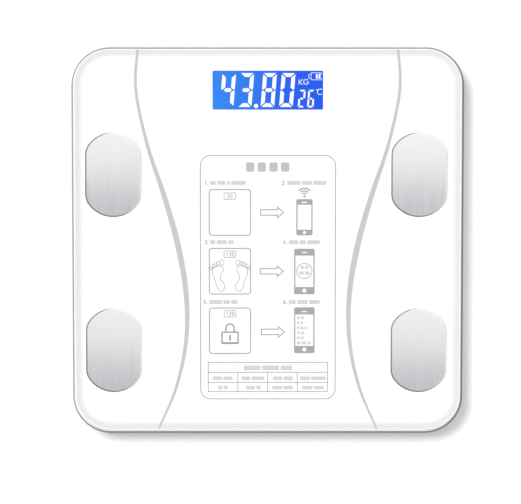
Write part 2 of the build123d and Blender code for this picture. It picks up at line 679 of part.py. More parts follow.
def build_corners():
    seat = Z_BRACKET + 1.8
    screws = []
    for name, (sx, sy) in CORNERS.items():
        place = corner_turn(sx, sy)
        parts["foot_" + name] = place * foot()
        parts["foot_pad_" + name] = place * foot_pad()
        parts["load_cell_" + name] = place * load_cell()
        parts["gauge_coating_" + name] = place * gauge_coating()
        parts["cell_bracket_" + name] = place * cell_bracket()
        for side in (-1, 1):
            screws.append(place * Pos(side * POST_R, 0, 0) * pan_screw(seat, 6.5))
    parts["bracket_screws"] = group(screws)


def build_display():
    parts["main_pcb"] = main_pcb()
    parts["lcd_bezel"] = lcd_bezel()
    parts["lcd_gasket"] = lcd_gasket()
    parts["lcd_glass"] = lcd_glass()
    parts["lcd_backlight"] = lcd_backlight()
    leds = [box(-39.8, -38.0, LCD_Y + y, LCD_Y + y + 3, Z_PCB_TOP, Z_PCB_TOP + 1.6) for y in (-7, 4)]
    parts["backlight_leds"] = group(leds)
    zebra_y = LCD_Y - LCD_H / 2
    parts["zebra_strip"] = box(-36, 36, zebra_y, zebra_y + 2.4, Z_PCB_TOP, Z_LCD)
    parts["wire_headers"] = group([header(-16, 16), header(-39, -21), header(21, 39)])
    parts["small_components"] = small_components()
    parts["radio_module"] = radio_module()
    blob = rod(4.5, Z_PCB_TOP, Z_PCB_TOP + 1.5, 4, 78)
    parts["mcu_epoxy_blob"] = fillet(top_edges(blob), 1.2)
    crystal = slab(7.8, 3.2, 1.55, Z_PCB_TOP, Z_PCB_TOP + 2.6, -7, 78)
    parts["crystal_can"] = fillet(top_edges(crystal), 0.4)
    board_screws = [Pos(sx * 48, y, 0) * pan_screw(Z_PCB_TOP, 4.8) for sx in (-1, 1) for y in (69.0, 112.0)]
    parts["board_screws"] = group(board_screws)


def build_power():
    for index, (y, sign) in enumerate(battery_rows(), 1):
        place = Pos(sign * BATTERY_SHIFT, y, Z_BATTERY) * Rot(0, 0, 0 if sign > 0 else 180)
        parts[f"battery_{index}"] = place * battery()
    parts["battery_contacts"] = battery_contacts()
    parts["battery_springs"] = battery_springs()
    parts["battery_door"] = battery_door()


def build_tray():
    parts["base_tray"] = base_tray()
    parts["unit_button"] = unit_button()
    parts["switch_housing"], parts["switch_plunger"] = switch_parts()


def build_leads():
    parts["cell_leads"] = cell_leads()
    parts["electrode_leads"] = electrode_leads()
    parts["battery_leads"] = battery_leads()


build_platform()
build_tray()
build_corners()
build_display()
build_power()
build_leads()
os.makedirs("parts", exist_ok=True)
for part_name, shape in parts.items():
    export_step(shape, f"parts/{part_name}.step")
print(len(parts), "nodes")
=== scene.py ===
import math

import bpy
import bmesh
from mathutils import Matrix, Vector


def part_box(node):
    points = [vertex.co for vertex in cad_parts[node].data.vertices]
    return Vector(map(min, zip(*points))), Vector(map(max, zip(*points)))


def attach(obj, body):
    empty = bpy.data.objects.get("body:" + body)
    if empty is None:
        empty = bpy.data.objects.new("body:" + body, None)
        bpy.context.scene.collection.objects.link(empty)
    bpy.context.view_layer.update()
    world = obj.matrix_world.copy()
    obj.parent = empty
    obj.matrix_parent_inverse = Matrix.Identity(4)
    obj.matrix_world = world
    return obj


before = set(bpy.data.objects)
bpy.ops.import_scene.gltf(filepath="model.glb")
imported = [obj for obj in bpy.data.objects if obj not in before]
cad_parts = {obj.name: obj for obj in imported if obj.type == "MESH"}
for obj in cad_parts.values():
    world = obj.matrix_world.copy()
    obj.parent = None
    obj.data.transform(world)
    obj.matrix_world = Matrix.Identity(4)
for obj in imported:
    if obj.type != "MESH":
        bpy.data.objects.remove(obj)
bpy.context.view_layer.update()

# A glass body scale seen from above. Everything drawn under the glass is real, thin geometry laid
# between the white film and the glass. Layout numbers are millimetres in the row frame.
MM = 0.001
FILM_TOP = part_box("printed_film")[1].z
LCD_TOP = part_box("lcd_glass")[1].z
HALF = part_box("glass_platform")[1].x / MM    # half the platform's side
GLASS_CORNER = 25.5                          # radius of its corners
CORNERS = ("front_left", "front_right", "rear_left", "rear_right")
INK_LOW = FILM_TOP + 0.02 * MM
INK_HIGH = FILM_TOP + 0.06 * MM


# ---------------------------------------------------------------- outlines, in millimetres
def arc(cx, cy, radius, start, end, steps, flat=1.0):
    """Points on an arc from start to end degrees; flat scales it along Y."""
    points = []
    for i in range(steps + 1):
        a = math.radians(start + (end - start) * i / steps)
        points.append((cx + radius * math.cos(a), cy + radius * flat * math.sin(a)))
    return points


def rectangle(x0, x1, y0, y1, corner=0.0, steps=6):
    """A rectangle's outline, anticlockwise, with rounded corners if corner is given."""
    if corner <= 0:
        return [(x0, y0), (x1, y0), (x1, y1), (x0, y1)]
    centres = ((x1 - corner, y0 + corner, -90), (x1 - corner, y1 - corner, 0))
    centres += ((x0 + corner, y1 - corner, 90), (x0 + corner, y0 + corner, 180))
    outline = []
    for cx, cy, start in centres:
        outline += arc(cx, cy, corner, start, start + 90, steps)
    return outline


def smooth_loop(knots, steps=5):
    """A closed smooth curve through the knots."""
    count = len(knots)
    points = []
    for i in range(count):
        a, b, c, d = (Vector(knots[(i + k) % count]) for k in (-1, 0, 1, 2))
        for s in range(steps):
            t = s / steps
            bend = (2 * a - 5 * b + 4 * c - d) * t**2 + (3 * b - a - 3 * c + d) * t**3
            point = 0.5 * (2 * b + (c - a) * t + bend)
            points.append((point.x, point.y))
    return points


def oval(cx, cy, rx, ry, lean):
    """An ellipse turned anticlockwise by lean degrees."""
    turn = math.radians(lean)
    points = []
    for px, py in arc(0, 0, 1.0, 0, 345, 23):
        px, py = px * rx, py * ry
        x = px * math.cos(turn) - py * math.sin(turn)
        points.append((cx + x, cy + px * math.sin(turn) + py * math.cos(turn)))
    return points


class Ink:
    """Collects flat shapes as closed thin solids, to be one mesh."""

    def __init__(self, low, high):
        self.mesh = bmesh.new()
        self.low, self.high = low, high

    def _ring(self, points, z):
        return [self.mesh.verts.new((x * MM, y * MM, z)) for x, y in points]

    def _wall(self, low, high, closed=True):
        count = len(low)
        for i in range(count if closed else count - 1):
            j = (i + 1) % count
            self.mesh.faces.new((low[i], low[j], high[j], high[i]))

    def fill(self, points):
        """A filled outline, anticlockwise."""
        low, high = self._ring(points, self.low), self._ring(points, self.high)
        self.mesh.faces.new(high)
        self.mesh.faces.new(low[::-1])
        self._wall(low, high)

    def frame(self, outer, inner):
        """The area between two outlines with the same number of points."""
        rings = [self._ring(p, z) for p in (outer, inner) for z in (self.low, self.high)]
        outer_low, outer_high, inner_low, inner_high = rings
        self._wall(outer_low, outer_high)
        self._wall(inner_high, inner_low)
        self._wall(outer_high, inner_high)
        self._wall(inner_low, outer_low)

    def line(self, points, width, closed=False):
        """A stroke along points; width is one number or one for each point."""
        widths = width if isinstance(width, (list, tuple)) else [width] * len(points)
        left, right = [], []
        count = len(points)
        for i, (x, y) in enumerate(points):
            before = Vector(points[(i - 1) % count] if closed or i else points[i])
            after = Vector(points[(i + 1) % count] if closed or i < count - 1 else points[i])
            here = Vector((x, y))
            ins = (here - before).normalized() if (here - before).length > 1e-9 else None
            out = (after - here).normalized() if (after - here).length > 1e-9 else None
            ins, out = ins or out, out or ins
            along = (ins + out).normalized()
            across = Vector((-along.y, along.x))
            reach = widths[i] / 2 / max(0.4, across.dot(Vector((-ins.y, ins.x))))
            left.append((x + across.x * reach, y + across.y * reach))
            right.append((x - across.x * reach, y - across.y * reach))
        if closed:
            self.frame(right, left)
            return
        low_l, high_l = self._ring(left, self.low), self._ring(left, self.high)
        low_r, high_r = self._ring(right, self.low), self._ring(right, self.high)
        self._wall(low_r, high_r, closed=False)
        self._wall(high_r, high_l, closed=False)
        self._wall(high_l, low_l, closed=False)
        self._wall(low_l, low_r, closed=False)
        self.mesh.faces.new((low_r[0], high_r[0], high_l[0], low_l[0]))
        self.mesh.faces.new((low_l[-1], high_l[-1], high_r[-1], low_r[-1]))

    def disc(self, cx, cy, radius, steps=20):
        self.fill(arc(cx, cy, radius, 0, 360 - 360 / steps, steps - 1))

    def circle(self, cx, cy, radius, width, steps=36):
        self.line(arc(cx, cy, radius, 0, 360 - 360 / steps, steps - 1), width, closed=True)

    def outline(self, x0, x1, y0, y1, width, corner=0.0):
        """A rectangle's line, centred on the given limits."""
        h = width / 2
        outer = rectangle(x0 - h, x1 + h, y0 - h, y1 + h, corner + h if corner else 0)
        inner = rectangle(x0 + h, x1 - h, y0 + h, y1 - h, max(corner - h, 0.05) if corner else 0)
        self.frame(outer, inner)

    def piece(self, name, material, slot):
        """Makes the mesh object and has it ride on the scale's base."""
        bmesh.ops.recalc_face_normals(self.mesh, faces=self.mesh.faces)
        mesh = bpy.data.meshes.new(name)
        self.mesh.to_mesh(mesh)
        self.mesh.free()
        mesh.materials.append(material)
        piece = bpy.data.objects.new(name, mesh)
        bpy.context.scene.collection.objects.link(piece)
        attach(piece, "base")
        return piece


# ---------------------------------------------------------------- material building
def math_node(tree, operation, a, b=0.0):
    """A maths node's output; a and b are numbers or other nodes' outputs."""
    node = tree.nodes.new("ShaderNodeMath")
    node.operation = operation
    for socket, value in zip(node.inputs, (a, b)):
        if isinstance(value, (int, float)):
            socket.default_value = value
        else:
            tree.links.new(value, socket)
    return node.outputs[0]


def ramp_node(tree, source, stops):
    """Colours at places 0 to 1 along source; a stop is (place, grey) or (place, (r, g, b))."""
    node = tree.nodes.new("ShaderNodeValToRGB")
    elements = node.color_ramp.elements
    while len(elements) < len(stops):
        elements.new(0.5)
    for element, (place, colour) in zip(elements, stops):
        element.position = place
        rgb = colour if isinstance(colour, (tuple, list)) else (colour,) * 3
        element.color = (*rgb, 1.0)
    tree.links.new(source, node.inputs[0])
    return node.outputs[0]


class Shader:
    """A node material put together with short calls. Lengths inside it are millimetres."""

    def __init__(self, name, **settings):
        self.material = bpy.data.materials.new(name)
        self.material.use_nodes = True
        self.tree = self.material.node_tree
        self.tree.nodes.clear()
        self.output = self.node("ShaderNodeOutputMaterial")
        self.bsdf = self.node("ShaderNodeBsdfPrincipled")
        for socket, value in settings.items():
            self.bsdf.inputs[socket.replace("_", " ")].default_value = value
        self.link(self.bsdf.outputs[0], self.output.inputs["Surface"])
        scaled = self.node("ShaderNodeVectorMath")
        scaled.operation = "SCALE"
        self.link(self.node("ShaderNodeTexCoord").outputs["Object"], scaled.inputs[0])
        scaled.inputs["Scale"].default_value = 1 / MM
        self.place = scaled.outputs[0]

    def node(self, kind):
        return self.tree.nodes.new(kind)

    def link(self, source, target):
        self.tree.links.new(source, target)

    def put(self, socket, source):
        self.link(source, self.bsdf.inputs[socket])

    def math(self, operation, a, b=0.0):
        return math_node(self.tree, operation, a, b)

    def ramp(self, source, stops):
        return ramp_node(self.tree, source, stops)

    def axes(self):
        split = self.node("ShaderNodeSeparateXYZ")
        self.link(self.place, split.inputs[0])
        return split.outputs

    def stretched(self, x=1.0, y=1.0, z=1.0):
        """The place, scaled along each axis, so that noise is drawn out along the others."""
        node = self.node("ShaderNodeVectorMath")
        node.operation = "MULTIPLY"
        self.link(self.place, node.inputs[0])
        node.inputs[1].default_value = (x, y, z)
        return node.outputs[0]

    def noise(self, scale, detail=3.0, rough=0.55, place=None):
        node = self.node("ShaderNodeTexNoise")
        self.link(place or self.place, node.inputs["Vector"])
        node.inputs["Scale"].default_value = scale
        node.inputs["Detail"].default_value = detail
        node.inputs["Roughness"].default_value = rough
        return node.outputs["Fac"]

    def mix(self, factor, a, b, kind="MIX"):
        node = self.node("ShaderNodeMix")
        node.data_type = "RGBA"
        node.blend_type = kind
        for socket, value in ((node.inputs[0], factor), (node.inputs[6], a), (node.inputs[7], b)):
            if isinstance(value, (int, float)):
                socket.default_value = value
            elif isinstance(value, tuple):
                socket.default_value = (*value, 1.0)
            else:
                self.link(value, socket)
        return node.outputs[2]

    def bump(self, height, strength, distance):
        node = self.node("ShaderNodeBump")
        node.inputs["Strength"].default_value = strength
        node.inputs["Distance"].default_value = distance * MM
        self.link(height, node.inputs["Height"])
        self.put("Normal", node.outputs[0])

    def towards(self, direction, turn):
        """How far a direction points along turn, degrees from +X towards +Y; from -1 to 1."""
        way = math.radians(turn)
        node = self.node("ShaderNodeVectorMath")
        node.operation = "DOT_PRODUCT"
        self.link(direction, node.inputs[0])
        node.inputs[1].default_value = (math.cos(way), math.sin(way), 0)
        return node.outputs["Value"]

    def facing(self, turn):
        """How far the surface faces along turn, in the part's own frame."""
        return self.towards(self.node("ShaderNodeTexCoord").outputs["Normal"], turn)

    def beyond(self, value, limit):
        """How far the value lies past the limit, on either side of zero."""
        return self.math("MAXIMUM", self.math("SUBTRACT", self.math("ABSOLUTE", value), limit), 0.0)

    def outward(self, straight, turn):
        """How far a rounded square's outward direction at the place points along turn."""
        x, y, _ = self.axes()
        across, along = (
            self.math("MULTIPLY", self.math("SIGN", v), self.beyond(v, straight)) for v in (x, y)
        )
        both = self.node("ShaderNodeCombineXYZ")
        self.link(across, both.inputs[0])
        self.link(along, both.inputs[1])
        unit = self.node("ShaderNodeVectorMath")
        unit.operation = "NORMALIZE"
        self.link(both.outputs[0], unit.inputs[0])
        return self.towards(unit.outputs[0], turn)

    def inset(self, half, corner):
        """How far the place lies inside a square with rounded corners, in millimetres."""
        x, y, _ = self.axes()
        across = self.math("SUBTRACT", self.math("ABSOLUTE", x), half - corner)
        along = self.math("SUBTRACT", self.math("ABSOLUTE", y), half - corner)
        beyond_x = self.math("POWER", self.math("MAXIMUM", across, 0.0), 2.0)
        beyond_y = self.math("POWER", self.math("MAXIMUM", along, 0.0), 2.0)
        outside = self.math("SQRT", self.math("ADD", beyond_x, beyond_y))
        inside = self.math("MINIMUM", self.math("MAXIMUM", across, along), 0.0)
        return self.math("SUBTRACT", corner, self.math("ADD", outside, inside))


def srgb(*levels):
    """Linear colour from 0 to 255 display levels."""
    return tuple(((v / 255 + 0.055) / 1.055) ** 2.4 if v > 10 else v / 255 / 12.92 for v in levels)


def ink_grey(name, level):
    """Screen-printed ink: the grey varies a little, as ink does on film."""
    base = srgb(level)[0] * PAPER
    sh = Shader(name, Roughness=0.55, Specular_IOR_Level=0.3)
    mottle = sh.noise(0.9, 4.0)
    sh.put("Base Color", sh.ramp(mottle, [(0.3, base * 0.97), (0.7, base * 1.03)]))
    return sh.material


def plastic(name, colour, rough, grain, depth):
    """Moulded plastic with a fine spark-eroded grain and a faint unevenness of colour."""
    sh = Shader(name, Specular_IOR_Level=0.4)
    cloud = sh.noise(0.05, 3.0)
    dark = tuple(c * 0.965 for c in colour)
    light = tuple(min(1.0, c * 1.02) for c in colour)
    sh.put("Base Color", sh.ramp(cloud, [(0.35, dark), (0.65, light)]))
    fine = sh.noise(1 / grain, 4.0, 0.6)
    sh.put("Roughness", sh.ramp(fine, [(0.3, rough * 0.88), (0.7, min(1.0, rough * 1.12))]))
    sh.bump(fine, 0.35, depth)
    return sh.material


def metal(name, colour, rough, stretch=(1.0, 1.0, 1.0)):
    """Bare metal whose scratches run along the axis that is stretched least."""
    sh = Shader(name, Metallic=1.0)
    lines = sh.noise(2.2, 4.0, 0.65, sh.stretched(*stretch))
    dark = tuple(c * 0.88 for c in colour)
    sh.put("Base Color", sh.ramp(lines, [(0.3, dark), (0.7, colour)]))
    sh.put("Roughness", sh.ramp(lines, [(0.25, rough * 0.8), (0.75, rough * 1.2)]))
    sh.bump(lines, 0.25, 0.01)
    return sh.material


def rubber(name, colour, rough, grain=0.6):
    """Matt rubber or foam with a pitted skin."""
    sh = Shader(name, Specular_IOR_Level=0.25)
    pits = sh.noise(1 / grain, 5.0, 0.7)
    dark = tuple(c * 0.8 for c in colour)
    light = tuple(min(1.0, c * 1.15) for c in colour)
    sh.put("Base Color", sh.ramp(pits, [(0.35, dark), (0.65, light)]))
    sh.put("Roughness", sh.ramp(pits, [(0.3, rough * 0.9), (0.7, min(1.0, rough * 1.15))]))
    sh.bump(pits, 0.4, 0.05)
    return sh.material


def glossy(name, colour, rough):
    """Smooth moulding or encapsulant with a slight orange-peel skin."""
    sh = Shader(name, Specular_IOR_Level=0.5, Coat_Weight=0.3, Coat_Roughness=0.1)
    peel = sh.noise(0.6, 2.0)
    dark = tuple(c * 0.92 for c in colour)
    sh.put("Base Color", sh.ramp(peel, [(0.35, dark), (0.65, colour)]))
    sh.put("Roughness", sh.ramp(peel, [(0.3, rough * 0.8), (0.7, rough * 1.25)]))
    sh.bump(peel, 0.12, 0.03)
    return sh.material


# ---------------------------------------------------------------- light and camera
SKY_POWER = 0.84
SKY_STOPS = ((0.05, 0.30), (0.72, 0.30), (0.88, 0.66), (1.0, 1.45))  # grey by height in the sky
KEY_TURN, KEY_RISE = 125.0, 55.0  # the key light comes from the rear left, high up
KEY_POWER, KEY_SPREAD = 2.02, 19.5
TILT = 10.02                      # the camera leans this far from straight above, to the rear
DISTANCE = 3.6035
LENS = 374.15
AIM = Vector((-4.85, 0.0, 22.0)) * MM
DROP = 7.03 * MM                  # the camera's view is centred this far in front of its aim
FLOOR_HALF, FLOOR_Z = 6.0, -0.1 * MM


def make_camera():
    lens = bpy.data.cameras.new("camera")
    lens.lens = LENS
    lens.clip_end = 50.0
    camera = bpy.data.objects.new("camera", lens)
    lean = math.radians(TILT)
    back = Vector((0, math.sin(lean), math.cos(lean)))
    camera.location = AIM + back * DISTANCE + Vector((0, -DROP, 0))
    camera.rotation_euler = (-lean, 0, 0)
    bpy.context.scene.collection.objects.link(camera)
    bpy.context.scene.camera = camera


def make_key():
    lamp = bpy.data.lights.new("key", "SUN")
    lamp.energy = KEY_POWER
    lamp.angle = math.radians(KEY_SPREAD)
    key = bpy.data.objects.new("key", lamp)
    turn, rise = math.radians(KEY_TURN), math.radians(KEY_RISE)
    towards = Vector((math.cos(turn) * math.cos(rise), math.sin(turn) * math.cos(rise), math.sin(rise)))
    key.visible_glossy = False
    key.rotation_euler = towards.to_track_quat("Z", "Y").to_euler()
    bpy.context.scene.collection.objects.link(key)


def make_sky():
    """A studio tent: brightest overhead, darker towards the horizon and the front, and even below."""
    world = bpy.data.worlds.new("studio")
    world.use_nodes = True
    tree = world.node_tree
    background = tree.nodes["Background"]
    place = tree.nodes.new("ShaderNodeTexCoord")
    split = tree.nodes.new("ShaderNodeSeparateXYZ")
    tree.links.new(place.outputs["Generated"], split.inputs[0])
    right, rear, up = split.outputs
    side = math_node(tree, "MULTIPLY", right, 0.08)
    side = math_node(tree, "ADD", side, math_node(tree, "MULTIPLY", rear, 0.20))
    above = math_node(tree, "ADD", side, math_node(tree, "MULTIPLY", up, 0.75))
    below = math_node(tree, "MULTIPLY", math_node(tree, "LESS_THAN", up, 0.0), 0.87)
    level = math_node(tree, "MAXIMUM", math_node(tree, "ADD", above, 0.28), below)
    tree.links.new(ramp_node(tree, level, SKY_STOPS), background.inputs[0])
    background.inputs[1].default_value = SKY_POWER
    bpy.context.scene.world = world


def make_floor():
    """Plain pale paper. It shows from above only, and doesn't keep the sky's light from the underside."""
    mesh = bpy.data.meshes.new("floor")
    ends = ((-1, -1), (1, -1), (1, 1), (-1, 1))
    corners = [(sx * FLOOR_HALF, sy * FLOOR_HALF, FLOOR_Z) for sx, sy in ends]
    mesh.from_pydata(corners, [], [(0, 1, 2, 3)])
    floor = bpy.data.objects.new("floor", mesh)
    bpy.context.scene.collection.objects.link(floor)
    sh = Shader("floor_paper", Roughness=0.9, Specular_IOR_Level=0.1, Emission_Strength=0.05)
    sh.bsdf.inputs["Emission Color"].default_value = (1, 1, 1, 1)
    cloud = sh.noise(0.01, 2.0)
    sh.put("Base Color", sh.ramp(cloud, [(0.3, 0.95), (0.7, 0.96)]))
    nothing = sh.node("ShaderNodeBsdfTransparent")
    top_only = sh.node("ShaderNodeMixShader")
    sh.link(sh.node("ShaderNodeNewGeometry").outputs["Backfacing"], top_only.inputs[0])
    sh.link(sh.bsdf.outputs[0], top_only.inputs[1])
    sh.link(nothing.outputs[0], top_only.inputs[2])
    sh.link(top_only.outputs[0], sh.output.inputs["Surface"])
    mesh.materials.append(sh.material)
    floor.visible_diffuse = False
    floor.visible_shadow = False


make_camera()
make_key()
make_sky()
make_floor()
bpy.context.scene.view_settings.view_transform = "Standard"


# ---------------------------------------------------------------- the platform
PAPER = 0.93                      # reflectance of the white film
RIM_PAINTED_LIT = (168, 169, 170)       # painted levels of the ground rim: lighter where it faces the key light
RIM_PAINTED_SHADE = (122, 123, 125)        # and painted shade where it faces away from it
STRAIGHT = HALF - GLASS_CORNER    # half the straight part of the platform's side
SHADE_BAND_DEPTH = 10.0                       # the film's painted shade band lies within this depth of the outline
PAINTED_SHADE_LEVELS = (                   # depth and level
    (1.2, 255), (1.6, 242), (2.3, 235), (3.1, 231), (4.0, 232),
    (4.8, 236), (5.7, 243), (6.9, 251), (7.9, 255),
)
STEEL_PAINTED_GAIN = 1.18                      # painted light: brightens the pads' steel colour, which mirrors the sky
SHADED_EDGE_TURN = 193.0                 # the side of a pad's rounded edge that gets painted shade


def dress(node, material):
    """Gives a CAD node a new material."""
    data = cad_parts[node].data
    data.materials.clear()
    data.materials.append(material)


def clear_pane(sh):
    """A clear sheet that mirrors a little on its outer faces and not on its inner ones."""
    gloss = sh.node("ShaderNodeBsdfGlossy")
    gloss.inputs["Roughness"].default_value = 0.06
    fresnel = sh.node("ShaderNodeFresnel")
    fresnel.inputs["IOR"].default_value = 1.22
    outside = sh.math("SUBTRACT", 1.0, sh.node("ShaderNodeNewGeometry").outputs["Backfacing"])
    pane = sh.node("ShaderNodeMixShader")
    sh.link(sh.math("MULTIPLY", fresnel.outputs[0], outside), pane.inputs[0])
    sh.link(sh.node("ShaderNodeBsdfTransparent").outputs[0], pane.inputs[1])
    sh.link(gloss.outputs[0], pane.inputs[2])
    return pane.outputs[0]


def glass_material():
    """A clear pane whose rim is ground: a grey line all the way round, partly real ground edge and partly
    painted shade, darker and wider where it faces away from the key light, with a painted highlight, a white
    line, inside it.
    """
    sh = Shader("tempered_glass", Roughness=0.35, Specular_IOR_Level=0.3)
    # Painted shade: the ground rim's grey is darker and its line wider towards the front right, away from the
    # key light, and narrower at the rear.
    shade = sh.math("MULTIPLY", sh.math("ADD", sh.outward(STRAIGHT, -45.0), 1.0), 0.5)
    rear = sh.math("MAXIMUM", sh.outward(STRAIGHT, 90.0), 0.0)
    front = sh.math("MAXIMUM", sh.outward(STRAIGHT, -90.0), 0.0)
    width = sh.math("ADD", 0.95, sh.math("MULTIPLY", shade, 0.5))
    width = sh.math("SUBTRACT", width, sh.math("MULTIPLY", rear, 0.4))
    width = sh.math("SUBTRACT", width, sh.math("MULTIPLY", front, 0.12))
    past_grey = sh.math("SUBTRACT", sh.inset(HALF, GLASS_CORNER), width)
    past_white = sh.math("SUBTRACT", past_grey, sh.math("MULTIPLY", front, 0.25))

    frost = sh.ramp(sh.noise(1.6, 4.0), [(0.3, 0.97), (0.7, 1.0)])
    grey = sh.ramp(shade, [(0.15, srgb(*RIM_PAINTED_LIT)), (0.85, srgb(*RIM_PAINTED_SHADE))])
    # Painted highlight: an opaque white line just inside the grey one, wider at the front, in place of the
    # polished edge's highlight.
    white = sh.ramp(sh.math("ADD", past_grey, 0.5), [(0.42, 0.0), (0.58, 1.0)])
    sh.put("Base Color", sh.mix(white, sh.mix(1.0, grey, frost, "MULTIPLY"), (0.97, 0.97, 0.97)))

    # The ground rim isn't there for light on its way to the film, so it doesn't darken the print.
    path = sh.node("ShaderNodeLightPath").outputs
    unseen = sh.math("MAXIMUM", path["Is Shadow Ray"], path["Is Diffuse Ray"])
    ground = sh.ramp(past_white, [(0.36, 1.0), (0.56, 0.0)])
    whole = sh.node("ShaderNodeMixShader")
    sh.link(sh.math("MULTIPLY", ground, sh.math("SUBTRACT", 1.0, unseen)), whole.inputs[0])
    sh.link(clear_pane(sh), whole.inputs[1])
    sh.link(sh.bsdf.outputs[0], whole.inputs[2])
    sh.link(whole.outputs[0], sh.output.inputs["Surface"])
    return sh.material


def film_material():
    """White print with a band of painted shade, soft grey just inside its edge where the glass's sloped rim
    would shade it, a little fainter on the right.
    """
    sh = Shader("white_print", Roughness=0.6, Specular_IOR_Level=0.2)
    depth = sh.math("DIVIDE", sh.inset(HALF, GLASS_CORNER), SHADE_BAND_DEPTH)
    band = sh.ramp(depth, [(d / SHADE_BAND_DEPTH, srgb(level)[0] * PAPER) for d, level in PAINTED_SHADE_LEVELS])
    # Painted shade: the band is made fainter on the right side.
    fade = sh.math("MULTIPLY", sh.outward(STRAIGHT, 0.0), 0.12)
    band = sh.mix(sh.math("MAXIMUM", fade, 0.0), band, (PAPER,) * 3)
    mottle = sh.ramp(sh.noise(0.7, 3.0), [(0.3, 0.995), (0.7, 1.0)])
    sh.put("Base Color", sh.mix(1.0, band, mottle, "MULTIPLY"))
    return sh.material


def electrode_material(name, front, rear):
    """Brushed steel with painted shade: brighter at its rear end, darker and more streaked at its front end.
    Its rounded edge has painted shade on one side and a painted highlight on the other. front and rear are
    its ends along Y."""
    sh = Shader(name, Metallic=1.0)
    _, y, _ = sh.axes()
    along = sh.math("DIVIDE", sh.math("SUBTRACT", y, front), rear - front)
    # Painted shade: the steel's colour darkens from its rear end to its front end.
    levels = ((0.0, (197, 197, 202)), (0.15, (201, 202, 206)), (0.3, (210, 211, 213)), (0.5, (225, 226, 227)))
    levels += ((0.7, (236, 236, 236)), (0.85, (240, 240, 240)), (1.0, (243, 243, 243)))
    shade = sh.ramp(along, [(t, tuple(c * STEEL_PAINTED_GAIN for c in srgb(*rgb))) for t, rgb in levels])
    broad = sh.noise(0.45, 4.0, 0.7, sh.stretched(1.0, 0.045, 0.1))
    fine = sh.noise(2.5, 3.0, 0.6, sh.stretched(1.0, 0.03, 0.1))
    broad = sh.ramp(broad, [(0.3, 0.74), (0.7, 1.0)])
    streak = sh.mix(0.5, broad, sh.ramp(fine, [(0.3, 0.86), (0.7, 1.0)]))
    strength = sh.ramp(along, [(0.1, 1.0), (0.75, 0.12)])
    brushed = sh.mix(strength, (0.90, 0.90, 0.90), streak)
    face = sh.mix(1.0, shade, brushed, "MULTIPLY")
    # Painted shade: the rounded edge is dark on one side; painted highlight: on the other side it is light
    # and hardly metallic.
    facing = sh.facing(SHADED_EDGE_TURN)
    turned = sh.ramp(facing, [(0.01, 0.0), (0.06, 1.0), (0.5, 1.0), (0.95, 0.3)])
    edge = sh.mix(0.5, shade, (0.27, 0.27, 0.275), "MULTIPLY")
    lit = sh.ramp(sh.math("MULTIPLY", facing, -1.0), [(0.03, 0.0), (0.2, 1.0)])
    sh.put("Base Color", sh.mix(lit, sh.mix(turned, face, edge), (0.9, 0.9, 0.9)))
    sh.put("Metallic", sh.ramp(lit, [(0.0, 1.0), (1.0, 0.1)]))
    sh.put("Roughness", sh.ramp(fine, [(0.3, 0.30), (0.7, 0.38)]))
    sh.bump(fine, 0.12, 0.006)
    return sh.material


def dress_platform():
    dress("glass_platform", glass_material())
    dress("printed_film", film_material())
    dress("platform_tape", rubber("white_foam_tape", (0.74, 0.74, 0.71), 0.85))
    dress("electrode_glue", rubber("acrylic_adhesive", (0.72, 0.74, 0.72), 0.6))
    for corner in CORNERS:
        low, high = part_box("electrode_" + corner)
        steel = electrode_material("brushed_steel_" + corner, low.y / MM, high.y / MM)
        dress("electrode_" + corner, steel)
    # The pads leave no shadow on the film below the clear glass.
    for node in ["electrode_glue"] + ["electrode_" + corner for corner in CORNERS]:
        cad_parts[node].visible_shadow = False
        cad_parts[node].visible_diffuse = False


dress_platform()


# ---------------------------------------------------------------- print under the glass
def print_curves():
    """Two mirrored lines that sweep in from the rear edge and swell in the middle."""
    knots = [                       # place along Y, place along X, width
        (128.6, -86.2, 1.7), (110.8, -87.7, 1.95), (94.8, -86.7, 2.0), (62.6, -79.5, 2.35),
        (30.3, -69.0, 3.4), (-2.2, -60.1, 4.0), (-34.7, -54.6, 3.5), (-67.3, -54.5, 2.65),
        (-100.0, -61.3, 2.0), (-129.0, -73.4, 1.25),
    ]
    last = len(knots) - 1
    steps = 10
    centre, widths = [], []
    for i in range(last):
        a, b, c, d = (Vector(knots[min(max(i + k, 0), last)]) for k in (-1, 0, 1, 2))
        slope_b = (c - a) / (c.x - a.x) * (c.x - b.x)
        slope_c = (d - b) / (d.x - b.x) * (c.x - b.x)
        for s in range(steps + (i == last - 1)):
            t = s / steps
            h = (2 * t**3 - 3 * t**2 + 1, t**3 - 2 * t**2 + t, -2 * t**3 + 3 * t**2, t**3 - t**2)
            point = h[0] * b + h[1] * slope_b + h[2] * c + h[3] * slope_c
            centre.append((point.y, point.x))
            widths.append(point.z * 0.97)
    ink = Ink(INK_LOW, INK_HIGH)
    ink.line(centre, widths)
    ink.line([(-x, y) for x, y in centre], widths)
    ink.piece("printed_curves", ink_grey("ink_curve_grey", 201), "printed_film")


PANEL = (-44.85, 45.05, -107.6, 57.3)    # its left, right, front and rear limits
COLUMN_LEFT, COLUMN_RIGHT = -25.2, 24.4  # middle of each column of pictograms
ROWS = (18.95, -20.8, -61.2)             # middle of each row of pictograms
SILLS = (8.85, 9.35, 9.4)                # each small display's lower edge above its row's middle
LINE = 0.62                              # width of the pictograms' lines


def text_bars(ink, x0, x1, y0, y1, shares):
    """Plain bars that stand for a line of words; shares are their lengths, with gaps between."""
    gap = (y1 - y0) * 0.35
    room = (x1 - x0) - gap * (len(shares) - 1)
    x = x0
    for share in shares:
        width = room * share / sum(shares)
        ink.fill(rectangle(x, x + width, y0, y1, min(width, y1 - y0) * 0.22, 3))
        x += width + gap


